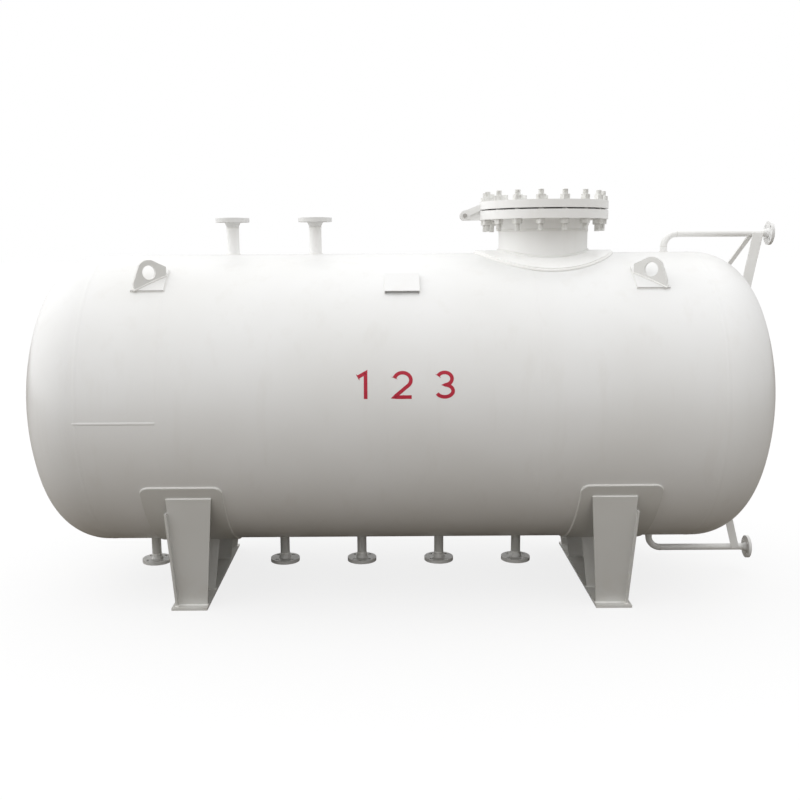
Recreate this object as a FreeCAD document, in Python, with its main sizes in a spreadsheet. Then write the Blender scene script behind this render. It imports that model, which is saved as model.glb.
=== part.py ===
import FreeCAD
import Part

import math
import os
import re

import Sketcher

# Horizontal pressure tank on two saddles. Millimetres. +X runs along the tank towards
# the level-gauge end, +Z is up and the front of the tank faces -Y. The origin lies on
# the floor, midway between the four anchor holes of the saddles.

SIZES = {
    # pressure shell and heads
    "shell_inner_diameter": 1400,
    "wall_thickness": 12,
    "seam_to_seam": 2850,
    "straight_flange": 25,
    "crown_share": 0.9045,
    "knuckle_share": 0.1727,
    "seam_weld_width": 18,
    "seam_weld_rise": 1.8,
    "saddle_height": 238,
    # clearances
    "seat_gap": 0.3,
    "pipe_inside": 8,
    "weld_land": 6,
    # manway, its centre set in from the right-hand seam
    "manway_inset": 714,
    "manway_rise": 203,
    "manway_pipe_diameter": 434,
    "manway_pipe_wall": 12,
    "manway_hub_wall": 6,
    "manway_hub_length": 96,
    "manway_face_width": 34,
    "manway_face_height": 2,
    "manway_bolt_gap": 12.5,
    "manway_rim_margin": 13.5,
    "manway_flange_thickness": 44,
    "manway_bolt_count": 16,
    "manway_pad_margin": 116,
    "manway_pad_thickness": 12,
    "manway_cover_thickness": 37,
    "gasket_width": 27,
    "gasket_thickness": 3,
    # studs of the manway
    "stud_diameter": 27,
    "stud_clearance": 3,
    "stud_above_cover": 47,
    "stud_below_flange": 56,
    "nut_across_flats": 41,
    "nut_height": 24,
    # hinge of the manway cover
    "hinge_reach": 74,
    "hinge_drop": 22,
    "hinge_eye_radius": 24,
    "hinge_pin_diameter": 20,
    "hinge_pin_length": 64,
    "hinge_pin_clearance": 0.3,
    "hinge_bracket_thickness": 24,
    "hinge_arm_thickness": 12,
    "hinge_side_gap": 0.5,
    "hinge_arm_root": 30,
    "hinge_arm_setdown": 2,
    # two nozzles on top, the first set in from the left-hand seam
    "top_inset": 605,
    "top_pitch": 407,
    "top_rise": 178,
    "top_pipe_diameter": 60,
    "top_pipe_wall": 4,
    "top_hub_wall": 9,
    "top_hub_length": 48,
    "top_face_width": 12,
    "top_face_height": 2,
    "top_bolt_gap": 2.5,
    "top_bolt_hole": 18,
    "top_rim_margin": 11,
    "top_flange_thickness": 22,
    "top_bolt_count": 4,
    # nozzles underneath: a row evenly spaced about the middle and one near the left seam
    "drain_inset": 150,
    "drain_row_count": 4,
    "drain_pitch": 402,
    "drain_drop": 161,
    "drain_pipe_diameter": 48,
    "drain_pipe_wall": 4,
    "drain_hub_wall": 8,
    "drain_hub_length": 45,
    "drain_face_width": 12,
    "drain_face_height": 2,
    "drain_bolt_gap": 2,
    "drain_bolt_hole": 18,
    "drain_rim_margin": 11,
    "drain_flange_thickness": 20,
    "drain_bolt_count": 4,
    # level-gauge lines: set in from the right-hand seam and reaching past its head
    "gauge_top_inset": 114,
    "gauge_top_rise": 88,
    "gauge_top_overhang": 27,
    "gauge_low_inset": 128,
    "gauge_low_drop": 100,
    "gauge_low_overhang": 10,
    "gauge_bend_radius": 62,
    "gauge_pipe_diameter": 33,
    "gauge_pipe_wall": 3.5,
    "gauge_hub_wall": 6.5,
    "gauge_hub_length": 40,
    "gauge_face_width": 11,
    "gauge_face_height": 2,
    "gauge_bolt_gap": 1.5,
    "gauge_bolt_hole": 14,
    "gauge_rim_margin": 8,
    "gauge_flange_thickness": 16,
    "gauge_bolt_count": 4,
    # flat bars that stay the gauge lines on the head, set back from its tip
    "stay_thickness": 6,
    "top_stay_width": 50,
    "top_stay_setback": 43,
    "top_stay_lean": 10,
    "slant_stay_width": 30,
    "slant_stay_setback": 70,
    "slant_stay_lean": 35,
    "slant_stay_roll": 35,
    "low_stay_width": 38,
    "low_stay_setback": 66,
    "low_stay_lean": 15,
    # lifting lugs, set in from the seams and placed by their angle from the top
    "lug_inset": 280,
    "lug_angle": 34.7,
    "lug_turn": 35,
    "lug_thickness": 18,
    "lug_eye_diameter": 64,
    "lug_eye_rise": 43,
    "lug_radius": 56,
    "lug_outer_foot": 74,
    "lug_inner_foot": 82,
    "lug_outer_toe": 43,
    "lug_inner_toe": 24,
    "lug_outer_angle": 145,
    "lug_inner_angle": 60,
    "lug_pad_inset": 279,
    "lug_pad_width": 150,
    "lug_pad_thickness": 9,
    "lug_pad_low_angle": 39.3,
    "lug_pad_high_angle": 26,
    # bracket for a nameplate
    "plate_bracket_x": 8,
    "plate_bracket_angle": 36,
    "plate_bracket_width": 158,
    "plate_bracket_height": 128,
    "plate_bracket_standoff": 10,
    "plate_bracket_thickness": 4,
    # saddles, set in from the seams
    "saddle_inset": 417,
    "base_width": 170,
    "base_length": 1000,
    "base_thickness": 12,
    "anchor_hole": 24,
    "anchor_margin": 80,
    "wear_plate_width": 368,
    "wear_plate_thickness": 8,
    "wear_plate_offset": -14,
    "wear_plate_half_wrap": 63.8,
    "wear_plate_corner": 38,
    "rib_foot_margin": 6,
    "rib_head_margin": 52,
    "rib_thickness": 8,
    "rib_y": 240,
    "end_plate_margin": 42,
    "end_plate_half_wrap": 58.8,
    "end_plate_stand": 9,
    "end_plate_thickness": 10,
    "web_thickness": 10,
    "web_foot_margin": 16,
    "web_head_margin": 101,
    "web_overhang": 20,
    "web_head_drop": 69,
}

# Sizes that follow from the driving ones.
FORMULAS = {
    "bore_radius": "shell_inner_diameter / 2",
    "shell_radius": "bore_radius + wall_thickness",
    "axis_height": "saddle_height + shell_radius",
    "half_shell": "seam_to_seam / 2",
    "pad_seat": "shell_radius + seat_gap",
    # a 2:1 head drawn with its two tangent arcs
    "crown_radius": "crown_share * shell_inner_diameter",
    "knuckle_radius": "knuckle_share * shell_inner_diameter",
    "knuckle_up": "bore_radius - knuckle_radius",
    "crown_sine": "knuckle_up / (crown_radius - knuckle_radius)",
    "crown_cosine": "sqrt(1 - crown_sine * crown_sine)",
    "crown_centre": "straight_flange - (crown_radius - knuckle_radius) * crown_cosine",
    "head_tip": "half_shell + crown_centre + crown_radius + wall_thickness",
    # places along the tank
    "manway_x": "half_shell - manway_inset",
    "top_left_x": "top_inset - half_shell",
    "top_right_x": "top_left_x + top_pitch",
    "drain_outer_x": "drain_inset - half_shell",
    "drain_first_x": "-(drain_row_count - 1) / 2 * drain_pitch",
    "gauge_top_x": "half_shell - gauge_top_inset",
    "gauge_low_x": "half_shell - gauge_low_inset",
    "gauge_top_reach": "head_tip + gauge_top_overhang",
    "gauge_low_reach": "head_tip + gauge_low_overhang",
    "lug_x": "half_shell - lug_inset",
    "lug_pad_x": "half_shell - lug_pad_inset",
    "saddle_x": "half_shell - saddle_inset",
    # heights above the floor
    "manway_face_z": "axis_height + shell_radius + manway_rise",
    "top_face_z": "axis_height + shell_radius + top_rise",
    "drain_face_z": "axis_height - shell_radius - drain_drop",
    "gauge_top_z": "axis_height + shell_radius + gauge_top_rise",
    "gauge_low_z": "axis_height - shell_radius - gauge_low_drop",
    # manway joint; its stack is counted from the joint face of the flange
    "manway_bolt_hole": "stud_diameter + stud_clearance",
    "manway_pad_diameter": "manway_pipe_diameter + 2 * manway_pad_margin",
    "gasket_inner_radius": "manway_hub_diameter / 2",
    "gasket_outer_radius": "gasket_inner_radius + gasket_width",
    "cover_face": "gasket_thickness",
    "cover_under": "cover_face + manway_face_height",
    "cover_top": "cover_under + manway_cover_thickness",
    "hinge_x": "manway_x - manway_flange_diameter / 2 - hinge_reach",
    "hinge_z": "manway_face_z - hinge_drop",
    # seats of the lugs
    "lug_seat": "pad_seat + lug_pad_thickness + seat_gap",
    "lug_y": "lug_seat * sin(lug_angle)",
    "lug_eye_z": "axis_height + lug_seat * cos(lug_angle) + lug_eye_rise",
    # plates of the saddles
    "wear_outer": "pad_seat + wear_plate_thickness",
    "rib_seat": "wear_outer + seat_gap",
    "rib_head_height": "axis_height - rib_seat * cos(end_plate_half_wrap)",
    "rib_foot_inner": "base_width / 2 - rib_foot_margin",
    "rib_foot_outer": "base_width / 2 - web_foot_margin - web_thickness",
    "rib_head_inner": "wear_plate_width / 2 - wear_plate_offset - rib_head_margin",
    "rib_head_outer": "wear_plate_width / 2 + wear_plate_offset - web_head_margin - web_thickness",
    "anchor_spacing": "base_length - 2 * anchor_margin",
    "end_plate_foot_y": "base_length / 2 - end_plate_margin",
    "end_plate_head_y": "rib_seat * sin(end_plate_half_wrap) + end_plate_stand",
    "end_plate_rise": "rib_head_height - base_thickness",
    "end_plate_slope": "(end_plate_head_y - end_plate_foot_y) / end_plate_rise",
    "web_head_height": "rib_head_height - web_head_drop",
    "web_foot_y": "end_plate_foot_y + web_overhang",
    "web_head_y": "web_foot_y + end_plate_slope * (web_head_height - base_thickness)",
}

# The rounds of every flange step outwards from its pipe.
for flange in ("manway", "top", "drain", "gauge"):
    FORMULAS.update({
        flange + "_hub_diameter": "%s_pipe_diameter + 2 * %s_hub_wall" % (flange, flange),
        flange + "_face_diameter": "%s_hub_diameter + 2 * %s_face_width" % (flange, flange),
        flange + "_bolt_circle": "%s_face_diameter + %s_bolt_hole + 2 * %s_bolt_gap" % ((flange,) * 3),
        flange + "_flange_diameter": "%s_bolt_circle + %s_bolt_hole + 2 * %s_rim_margin" % ((flange,) * 3),
    })

PLANES = {"XY": "XY_Plane", "XZ": "XZ_Plane", "YZ": "YZ_Plane"}
UP = FreeCAD.Vector(0, 0, 1)

doc = FreeCAD.newDocument("PressureTank")
sizes = doc.addObject("Spreadsheet::Sheet", "Sizes")
nodes = {}


# ---------------------------------------------------------------- sheet and formulas

def fill_sheet():
    for row, (alias, number) in enumerate(SIZES.items(), start=1):
        sizes.set("A%d" % row, alias)
        sizes.set("B%d" % row, str(number))
        sizes.setAlias("B%d" % row, alias)
    doc.recompute()


def linked(text):
    """The same formula with every size written as its cell of the sheet."""
    def swap(match):
        word = match.group(0)
        if word in FORMULAS:
            return "(" + linked(FORMULAS[word]) + ")"
        return "Sizes." + word if word in SIZES else word
    return re.sub(r"[a-z_]+", swap, text)


def value(text):
    return float(sizes.evalExpression(linked(text)))


# ---------------------------------------------------------------- sketches

def origin_part(body, role):
    return next(item for item in body.Origin.OriginFeatures if item.Role == role)


def new_sketch(body, plane, lift):
    sketch = body.newObject("Sketcher::SketchObject", body.Name + "_sketch")
    sketch.AttachmentSupport = [(origin_part(body, PLANES[plane]), "")]
    sketch.MapMode = "FlatFace"
    if lift != "0":
        sketch.AttachmentOffset = FreeCAD.Placement(UP * value(lift), FreeCAD.Rotation())
        sketch.setExpression("AttachmentOffset.Base.z", linked(lift))
    return sketch


def bind(sketch, constraint, text):
    sketch.setExpression("Constraints[%d]" % sketch.addConstraint(constraint), linked(text))


def pin_point(sketch, edge, vertex, across, up):
    bind(sketch, Sketcher.Constraint("DistanceX", -1, 1, edge, vertex, value(across)), across)
    bind(sketch, Sketcher.Constraint("DistanceY", -1, 1, edge, vertex, value(up)), up)


def arc_between(start, end, radius, turn):
    """The arc under half a circle from start to end; turn is 1 anticlockwise, -1 clockwise."""
    chord = end - start
    side = FreeCAD.Vector(-chord.y, chord.x, 0).normalize() * turn
    centre = (start + end) / 2 + side * math.sqrt(radius ** 2 - chord.Length ** 2 / 4)
    first, last = (start, end) if turn > 0 else (end, start)
    angles = [math.atan2(point.y - centre.y, point.x - centre.x) for point in (first, last)]
    return Part.ArcOfCircle(Part.Circle(centre, UP, radius), *angles)


def draw_outline(sketch, corners):
    """Adds a closed outline. A corner is (across, up) or (across, up, radius, turn), where
    the last two describe the arc that leaves it."""
    first_edge = sketch.GeometryCount
    points = [FreeCAD.Vector(value(corner[0]), value(corner[1]), 0) for corner in corners]
    ends = []
    for index, corner in enumerate(corners):
        start = points[index]
        end = points[(index + 1) % len(points)]
        if len(corner) == 2:
            sketch.addGeometry(Part.LineSegment(start, end), False)
            ends.append((1, 2))
        else:
            radius, turn = corner[2:]
            sketch.addGeometry(arc_between(start, end, value(radius), turn), False)
            ends.append((1, 2) if turn > 0 else (2, 1))
    for index, corner in enumerate(corners):
        edge = first_edge + index
        following = (index + 1) % len(corners)
        joint = (edge, ends[index][1], first_edge + following, ends[following][0])
        sketch.addConstraint(Sketcher.Constraint("Coincident", *joint))
        pin_point(sketch, edge, ends[index][0], corner[0], corner[1])
        if len(corner) > 2:
            bind(sketch, Sketcher.Constraint("Radius", edge, value(corner[2])), corner[2])


def outline(body, plane, corners, lift="0"):
    sketch = new_sketch(body, plane, lift)
    draw_outline(sketch, corners)
    return sketch


def circles(body, plane, rounds, lift="0"):
    """A sketch of circles, each given as (across, up, radius)."""
    sketch = new_sketch(body, plane, lift)
    for edge, (across, up, radius) in enumerate(rounds):
        centre = FreeCAD.Vector(value(across), value(up), 0)
        sketch.addGeometry(Part.Circle(centre, UP, value(radius)), False)
        pin_point(sketch, edge, 3, across, up)
        bind(sketch, Sketcher.Constraint("Radius", edge, value(radius)), radius)
    return sketch


# ---------------------------------------------------------------- features

def new_body(label):
    body = doc.addObject("PartDesign::Body", label)
    body.AllowCompound = True
    return body


def pad(body, sketch, length, both_ways=False):
    feature = body.newObject("PartDesign::Pad", body.Name + "_pad")
    feature.Profile = sketch
    feature.SideType = "Symmetric" if both_ways else "One side"
    feature.setExpression("Length", linked(length))
    return feature


def pocket(body, sketch, side="both"):
    """Cuts right through: up or down from the sketch's plane, or both ways."""
    feature = body.newObject("PartDesign::Pocket", body.Name + "_pocket")
    feature.Profile = sketch
    feature.SideType = "Symmetric" if side == "both" else "One side"
    feature.Type = "ThroughAll"
    feature.Reversed = side == "up"
    return feature


def revolve(body, sketch, role):
    feature = body.newObject("PartDesign::Revolution", body.Name + "_revolution")
    feature.Profile = sketch
    feature.ReferenceAxis = (origin_part(body, role), [""])
    feature.Angle = 360
    return feature


def polar(body, features, count):
    pattern = body.newObject("PartDesign::PolarPattern", body.Name + "_polar")
    pattern.Originals = features
    pattern.Axis = (origin_part(body, "Z_Axis"), [""])
    pattern.Angle = 360
    pattern.setExpression("Occurrences", linked(count))
    body.Tip = pattern


def mirrored(body, features, plane):
    mirror = body.newObject("PartDesign::Mirrored", body.Name + "_mirror")
    mirror.Originals = features
    mirror.MirrorPlane = (origin_part(body, PLANES[plane]), [""])
    body.Tip = mirror


def cylinder(name, radius, height):
    """A round tool that starts at its placement and runs along its own +Z."""
    tool = doc.addObject("Part::Cylinder", name)
    tool.setExpression("Radius", linked(radius))
    tool.setExpression("Height", linked(height))
    return tool


def boolean(kind, name, base, tool):
    result = doc.addObject("Part::" + kind, name)
    result.Base = base
    result.Tool = tool
    return result


def place(item, x="0", y="0", z="0", turn=None):
    """Stands an item at a point; turn is a FreeCAD rotation."""
    rotation = turn or FreeCAD.Rotation()
    base = FreeCAD.Vector(value(x), value(y), value(z))
    item.Placement = FreeCAD.Placement(base, rotation)
    for letter, text in (("x", x), ("y", y), ("z", z)):
        item.setExpression("Placement.Base." + letter, linked(text))
    return item


def turned(x, y, z, degrees):
    return FreeCAD.Rotation(FreeCAD.Vector(x, y, z), degrees)


def keep(item):
    """Makes an item a node of the model; its label is the node's name."""
    item.Label = item.Name
    nodes[item.Label] = item
    return item


FLIP = turned(1, 0, 0, 180)
ALONG_X = turned(0, 1, 0, 90)


# ---------------------------------------------------------------- pressure shell

def nozzle_places():
    """Every hole in the shell: its x, the outside diameter of its pipe and its side."""
    places = [("manway_x", "manway_pipe_diameter", "up")]
    places += [(x, "top_pipe_diameter", "up") for x in ("top_left_x", "top_right_x")]
    places += [("gauge_top_x", "gauge_pipe_diameter", "up")]
    places += [(x, "drain_pipe_diameter", "down") for x in drain_places()]
    places += [("gauge_low_x", "gauge_pipe_diameter", "down")]
    return places


def drain_places():
    row = range(SIZES["drain_row_count"])
    return ["drain_outer_x"] + ["drain_first_x + %d * drain_pitch" % step for step in row]


def make_shell():
    body = new_body("shell")
    ring = circles(body, "YZ", [("0", "0", "shell_radius"), ("0", "0", "bore_radius")])
    pad(body, ring, "seam_to_seam", both_ways=True)
    for side in ("up", "down"):
        holes = [(x, "0", diameter + " / 2 + seat_gap")
                 for x, diameter, hole_side in nozzle_places() if hole_side == side]
        pocket(body, circles(body, "XY", holes), side)
    keep(place(body, z="axis_height"))


def head_corners(offset):
    """Half section of a head from its seam to its crown, offset outwards from the bore."""
    knuckle = "knuckle_radius + " + offset
    return [("0", "bore_radius + " + offset),
            ("straight_flange", "bore_radius + " + offset, knuckle, -1),
            ("straight_flange + (" + knuckle + ") * crown_cosine",
             "knuckle_up + (" + knuckle + ") * crown_sine",
             "crown_radius + " + offset, -1),
            ("crown_centre + crown_radius + " + offset, "0")]


def make_heads():
    for label, seam, turn in (("head_right", "half_shell", 0), ("head_left", "-half_shell", 180)):
        body = new_body(label)
        outside = head_corners("wall_thickness")
        inside = [("0", "bore_radius"),
                  ("crown_centre + crown_radius", "0", "crown_radius", 1),
                  ("straight_flange + knuckle_radius * crown_cosine",
                   "knuckle_up + knuckle_radius * crown_sine", "knuckle_radius", 1),
                  ("straight_flange", "bore_radius")]
        section = outline(body, "XZ", outside + inside[1:] + inside[:1])
        revolve(body, section, "X_Axis")
        keep(place(body, x=seam, z="axis_height", turn=turned(0, 0, 1, turn)))


def make_seam_welds():
    """The weld caps that stand proud of the shell where the heads join it."""
    rings = []
    for label, seam in (("seam_weld_right", "half_shell"), ("seam_weld_left", "-half_shell")):
        body = new_body(label)
        ring = circles(body, "YZ", [("0", "0", "pad_seat + seam_weld_rise"), ("0", "0", "pad_seat")])
        pad(body, ring, "seam_weld_width", both_ways=True)
        rings.append(place(body, x=seam, z="axis_height"))
    caps = doc.addObject("Part::Compound", "seam_welds")
    caps.Links = rings
    keep(caps)


# ---------------------------------------------------------------- flanges and pipes

def make_flange(label, kind):
    """A weld-neck flange. Its joint face is at its origin and looks along +Z."""
    body = new_body(label)
    bore = kind + "_pipe_diameter / 2 - " + kind + "_pipe_wall"
    pipe = kind + "_pipe_diameter / 2"
    face = kind + "_face_diameter / 2"
    rim = kind + "_flange_diameter / 2"
    step = "-" + kind + "_face_height"
    back = "-" + kind + "_flange_thickness"
    end = "-" + kind + "_hub_length"
    section = [(bore, "0"), (face, "0"), (face, step), (rim, step), (rim, back),
               (kind + "_hub_diameter / 2", back), (pipe, end + " + weld_land"),
               (pipe, end), (bore, end)]
    revolve(body, outline(body, "XZ", section), "Z_Axis")
    add_bolt_holes(body, kind)
    return keep(body)


def add_bolt_holes(body, kind):
    """Round holes that straddle the centre lines of a flange."""
    reach = kind + "_bolt_circle / 2"
    half_pitch = "180 / " + kind + "_bolt_count"
    spot = (reach + " * cos(" + half_pitch + ")", reach + " * sin(" + half_pitch + ")",
            kind + "_bolt_hole / 2")
    cut = pocket(body, circles(body, "XY", [spot]))
    polar(body, [cut], kind + "_bolt_count")


def make_straight_pipe(body, kind, x, length, z, turn=None):
    """A length of pipe that runs up from z, or down from it where it is flipped."""
    outer = kind + "_pipe_diameter / 2"
    ring = circles(body, "XY", [("0", "0", outer), ("0", "0", outer + " - " + kind + "_pipe_wall")])
    pad(body, ring, length)
    return place(body, x=x, z=z, turn=turn)


def pipe_row(label, kind, xs, length, z, turn=None):
    """Equal pipes in a row, gathered in one node."""
    pipes = [make_straight_pipe(new_body("%s_%d" % (label, number)), kind, x, length, z, turn)
             for number, x in enumerate(xs, start=1)]
    row = doc.addObject("Part::Compound", label)
    row.Links = pipes
    keep(row)


def make_nozzles():
    top_start = "axis_height + bore_radius - pipe_inside"
    top_length = "wall_thickness + pipe_inside + top_rise - top_hub_length"
    top_xs = ("top_left_x", "top_right_x")
    pipe_row("top_nozzle_pipes", "top", top_xs, top_length, top_start)
    for number, x in enumerate(top_xs, start=1):
        place(make_flange("top_nozzle_flange_%d" % number, "top"), x=x, z="top_face_z")
    low_start = "axis_height - bore_radius + pipe_inside"
    low_length = "wall_thickness + pipe_inside + drain_drop - drain_hub_length"
    pipe_row("bottom_nozzle_pipes", "drain", drain_places(), low_length, low_start, FLIP)
    for number, x in enumerate(drain_places(), start=1):
        flange = make_flange("bottom_nozzle_flange_%d" % number, "drain")
        place(flange, x=x, z="drain_face_z", turn=FLIP)


# ---------------------------------------------------------------- manway

def manway_tool(name, radius):
    """A cylinder on the manway's axis, from the tank's axis up past the cover."""
    return place(cylinder(name, radius, "2 * shell_radius"), x="manway_x", z="axis_height")


def make_manway_pad():
    outer = cylinder("manway_pad_outer", "pad_seat + manway_pad_thickness", "2 * manway_pad_diameter")
    inner = cylinder("manway_pad_inner", "pad_seat", "2 * manway_pad_diameter")
    for tool in (outer, inner):
        place(tool, x="manway_x - manway_pad_diameter", z="axis_height", turn=ALONG_X)
    sleeve = boolean("Cut", "manway_pad_sleeve", outer, inner)
    disc = manway_tool("manway_pad_disc", "manway_pad_diameter / 2")
    hole = manway_tool("manway_pad_hole", "manway_pipe_diameter / 2 + seat_gap")
    sheet = boolean("Common", "manway_pad_sheet", sleeve, disc)
    keep(boolean("Cut", "manway_pad", sheet, hole))


def make_manway_neck():
    neck = new_body("manway_neck")
    reach = "manway_pipe_diameter / 2"
    start = "sqrt(bore_radius * bore_radius - " + reach + " * " + reach + ") - pipe_inside"
    length = "shell_radius + manway_rise - manway_hub_length - (" + start + ")"
    make_straight_pipe(neck, "manway", "manway_x", length, "axis_height + " + start)
    keep(neck)


def make_manway_joint():
    place(make_flange("manway_flange", "manway"), x="manway_x", z="manway_face_z")
    gasket = new_body("manway_gasket")
    ring = [("0", "0", "gasket_outer_radius"), ("0", "0", "gasket_inner_radius")]
    pad(gasket, circles(gasket, "XY", ring), "gasket_thickness")
    keep(place(gasket, x="manway_x", z="manway_face_z"))
    cover = new_body("manway_cover")
    face = "manway_face_diameter / 2"
    rim = "manway_flange_diameter / 2"
    section = [("0", "cover_face"), (face, "cover_face"), (face, "cover_under"),
               (rim, "cover_under"), (rim, "cover_top"), ("0", "cover_top")]
    revolve(cover, outline(cover, "XZ", section), "Z_Axis")
    add_bolt_holes(cover, "manway")
    keep(place(cover, x="manway_x", z="manway_face_z"))


def hexagon(across, flats):
    """Corners of a hexagon about a point of the X axis, given the size across its flats."""
    radius = flats + " / sqrt(3)"
    return [("%s + %s * cos(%d)" % (across, radius, angle), "%s * sin(%d)" % (radius, angle))
            for angle in range(0, 360, 60)]


def make_manway_studs():
    body = new_body("manway_studs")
    reach = "manway_bolt_circle / 2"
    low = "-manway_flange_thickness - stud_below_flange"
    rod = circles(body, "XY", [(reach, "0", "stud_diameter / 2")], low)
    length = "cover_top + stud_above_cover + manway_flange_thickness + stud_below_flange"
    features = [pad(body, rod, length)]
    for lift in ("cover_top", "-manway_flange_thickness - nut_height"):
        nut = outline(body, "XY", hexagon(reach, "nut_across_flats"), lift)
        features.append(pad(body, nut, "nut_height"))
    polar(body, features, "manway_bolt_count")
    half_pitch = turned(0, 0, 1, value("180 / manway_bolt_count"))
    keep(place(body, x="manway_x", z="manway_face_z", turn=half_pitch))


def hinge_tools(body):
    """Clears the rim of the flange and of the cover, and drills the eye for the pin."""
    rim = "manway_flange_diameter / 2"
    pocket(body, circles(body, "XY", [("hinge_reach + " + rim, "0", rim + " + seat_gap")]))
    bore = "hinge_pin_diameter / 2 + hinge_pin_clearance"
    pocket(body, circles(body, "XZ", [("0", "0", bore)]))


def make_hinge():
    """The cover's hinge, drawn about its pin with +X towards the manway."""
    eye = "hinge_eye_radius"
    inside = "hinge_reach + hinge_eye_radius"
    bracket = new_body("manway_hinge_bracket")
    flange_top = "hinge_drop - manway_face_height - 2 * seat_gap"
    flange_back = "hinge_drop - manway_flange_thickness"
    plate = [(inside, flange_top), ("0", eye, eye, 1), ("-" + eye, "0", eye, 1),
             ("0", "-" + eye), (inside, flange_back)]
    pad(bracket, outline(bracket, "XZ", plate), "hinge_bracket_thickness", both_ways=True)
    hinge_tools(bracket)
    arms = new_body("manway_hinge_arms")
    arm_top = "hinge_drop + cover_top - hinge_arm_setdown"
    arm = [(inside, arm_top), ("0", eye, eye, 1), ("-" + eye, "0", eye, 1),
           ("0", "-" + eye, eye, 1), (eye, "0"), (inside, arm_top + " - hinge_arm_root")]
    near = "hinge_bracket_thickness / 2 + hinge_side_gap"
    feature = pad(arms, outline(arms, "XZ", arm, near), "hinge_arm_thickness")
    mirrored(arms, [feature], "XZ")
    hinge_tools(arms)
    pin = place(cylinder("manway_hinge_pin", "hinge_pin_diameter / 2", "hinge_pin_length"),
                x="hinge_x", y="hinge_pin_length / 2", z="hinge_z", turn=turned(1, 0, 0, 90))
    keep(pin)
    for body in (bracket, arms):
        keep(place(body, x="hinge_x", z="hinge_z"))


# ---------------------------------------------------------------- level-gauge lines

def make_gauge_line(label, rise, run, x, z, turn):
    """A pipe that leaves the shell, bends and runs to its flange; rise and run are the
    lengths from its start to the corner of its centre line and on to its end."""
    body = new_body(label)
    outer = "gauge_pipe_diameter / 2"
    ring = circles(body, "XY", [("0", "0", outer), ("0", "0", outer + " - gauge_pipe_wall")])
    route = new_sketch(body, "XZ", "0")
    bend = value("gauge_bend_radius")
    corner = value(rise)
    start = FreeCAD.Vector(0, 0, 0)
    low = FreeCAD.Vector(0, corner - bend, 0)
    high = FreeCAD.Vector(bend, corner, 0)
    end = FreeCAD.Vector(value(run), corner, 0)
    route.addGeometry(Part.LineSegment(start, low), False)
    route.addGeometry(arc_between(low, high, bend, -1), False)
    route.addGeometry(Part.LineSegment(high, end), False)
    route.addConstraint(Sketcher.Constraint("Coincident", 0, 2, 1, 2))
    route.addConstraint(Sketcher.Constraint("Coincident", 1, 1, 2, 1))
    pin_point(route, 0, 1, "0", "0")
    pin_point(route, 0, 2, "0", rise + " - gauge_bend_radius")
    pin_point(route, 2, 1, "gauge_bend_radius", rise)
    pin_point(route, 2, 2, run, rise)
    bind(route, Sketcher.Constraint("Radius", 1, bend), "gauge_bend_radius")
    sweep = body.newObject("PartDesign::AdditivePipe", label + "_sweep")
    sweep.Profile = ring
    sweep.Spine = (route, ["Edge1", "Edge2", "Edge3"])
    keep(place(body, x=x, z=z, turn=turn))


def make_gauge_lines():
    inside = "wall_thickness + pipe_inside"
    make_gauge_line("gauge_pipe_top", inside + " + gauge_top_rise",
                    "gauge_top_reach - gauge_hub_length - gauge_top_x",
                    "gauge_top_x", "axis_height + bore_radius - pipe_inside", None)
    make_gauge_line("gauge_pipe_bottom", inside + " + gauge_low_drop",
                    "gauge_low_reach - gauge_hub_length - gauge_low_x",
                    "gauge_low_x", "axis_height - bore_radius + pipe_inside", FLIP)
    for label, x, z in (("gauge_flange_top", "gauge_top_reach", "gauge_top_z"),
                        ("gauge_flange_bottom", "gauge_low_reach", "gauge_low_z")):
        place(make_flange(label, "gauge"), x=x, z=z, turn=ALONG_X)


def make_head_envelope():
    """The outside of the right-hand end as a solid, a seat gap larger, to trim the stays."""
    body = new_body("head_envelope")
    offset = "(wall_thickness + seat_gap)"
    back = "-shell_radius"
    section = [(back, "0"), (back, "bore_radius + " + offset)] + head_corners(offset)
    revolve(body, outline(body, "XZ", section), "X_Axis")
    return place(body, x="half_shell", z="axis_height")


def make_stay(label, kind, y, z, turn, *trims):
    """A flat bar that starts at y and z and runs down its own frame's Z axis, its thickness
    towards -Y, until the trims cut it off."""
    bar = new_body(label + "_bar")
    half = kind + "_width / 2"
    end = "-shell_radius"
    face = [("-" + half, "0"), ("-" + half, end), (half, end), (half, "0")]
    pad(bar, outline(bar, "XZ", face), "stay_thickness")
    stay = place(bar, x="head_tip - " + kind + "_setback", y=y, z=z, turn=turn)
    for number, trim in enumerate(trims, start=1):
        name = label if number == len(trims) else "%s_trim_%d" % (label, number)
        stay = boolean("Cut", name, stay, trim)
    keep(stay)


def make_stays():
    envelope = make_head_envelope()
    in_front = "-gauge_pipe_diameter / 2 - seat_gap"
    make_stay("gauge_stay_top", "top_stay", in_front, "gauge_top_z",
              turned(0, 1, 0, value("top_stay_lean")), envelope)
    line = place(cylinder("gauge_line_tool", "gauge_pipe_diameter / 2 + seat_gap", "gauge_top_reach"),
                 z="gauge_top_z", turn=ALONG_X)
    lean = turned(0, 1, 0, value("slant_stay_lean"))
    roll = turned(0, 0, 1, value("slant_stay_roll"))
    make_stay("gauge_stay_slant", "slant_stay", "0", "gauge_top_z", lean.multiply(roll),
              line, envelope)
    upside = turned(0, 1, 0, 180 - value("low_stay_lean"))
    make_stay("gauge_stay_bottom", "low_stay", in_front, "gauge_low_z", upside, envelope)


# ---------------------------------------------------------------- lugs and bracket

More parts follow.
